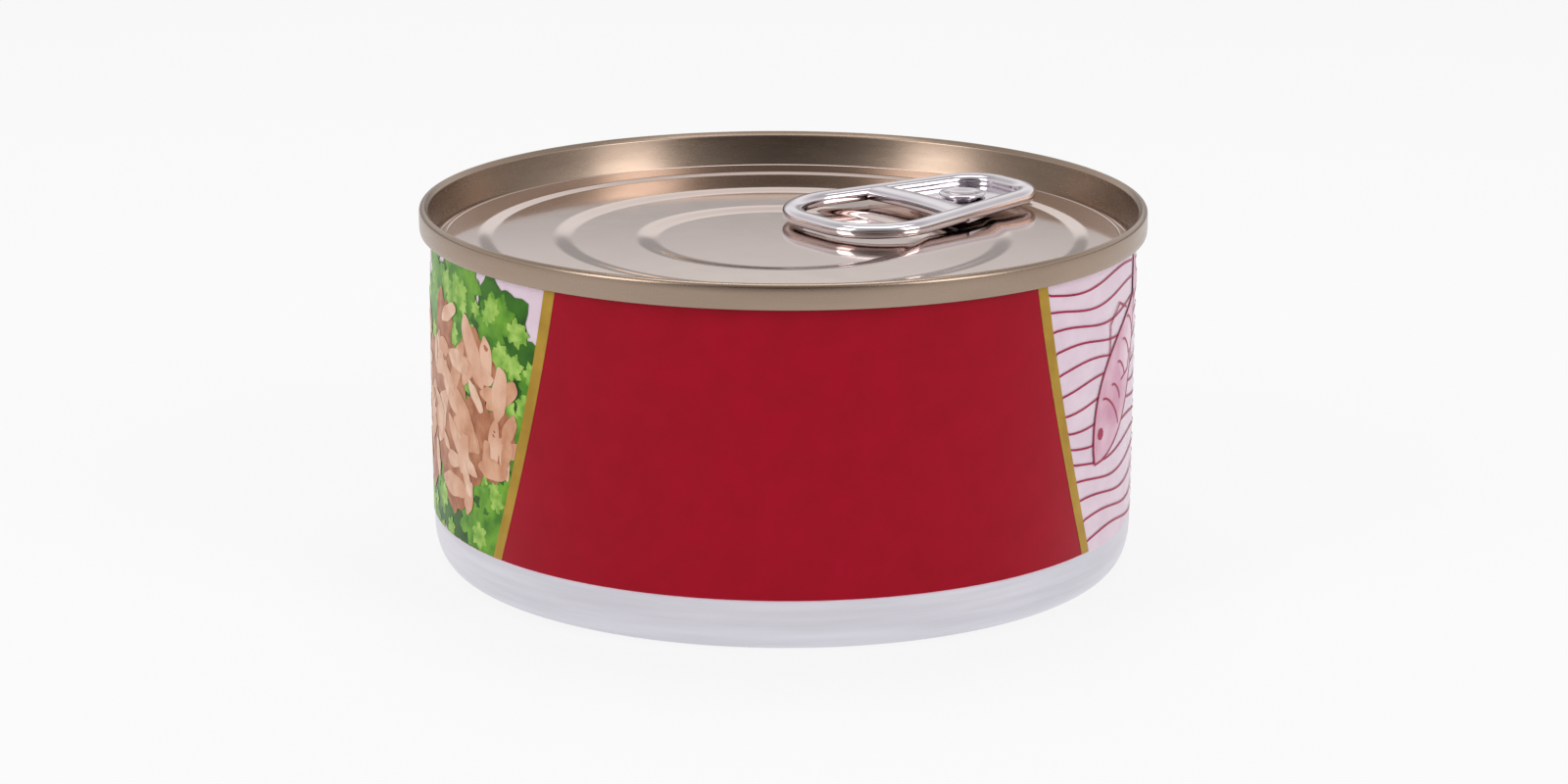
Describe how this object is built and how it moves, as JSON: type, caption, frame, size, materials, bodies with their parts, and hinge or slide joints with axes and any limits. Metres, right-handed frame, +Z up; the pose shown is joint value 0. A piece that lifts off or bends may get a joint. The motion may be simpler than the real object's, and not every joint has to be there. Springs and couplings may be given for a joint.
{
  "type": "tuna can",
  "caption": "Short round steel food can with a paper label, a double-seamed easy-open end and a ring pull.",
  "frame": {"origin": "centre of the standing ring, on the surface the can rests on", "axes": "+Z up along the can's axis; -Y faces the middle of the label's red field; the ring pull points between +X and +Y"},
  "size_m": [0.0868, 0.0868, 0.0429],
  "materials": {
    "tinplate": "satin",
    "lacquered_steel": "gloss",
    "bright_steel": "polished",
    "label_paper": "gloss"
  },
  "bodies": {
    "root": {"can_body": "tinplate", "label": "label_paper", "lid": "lacquered_steel", "ring_pull": "bright_steel"}
  },
  "joints": []
}
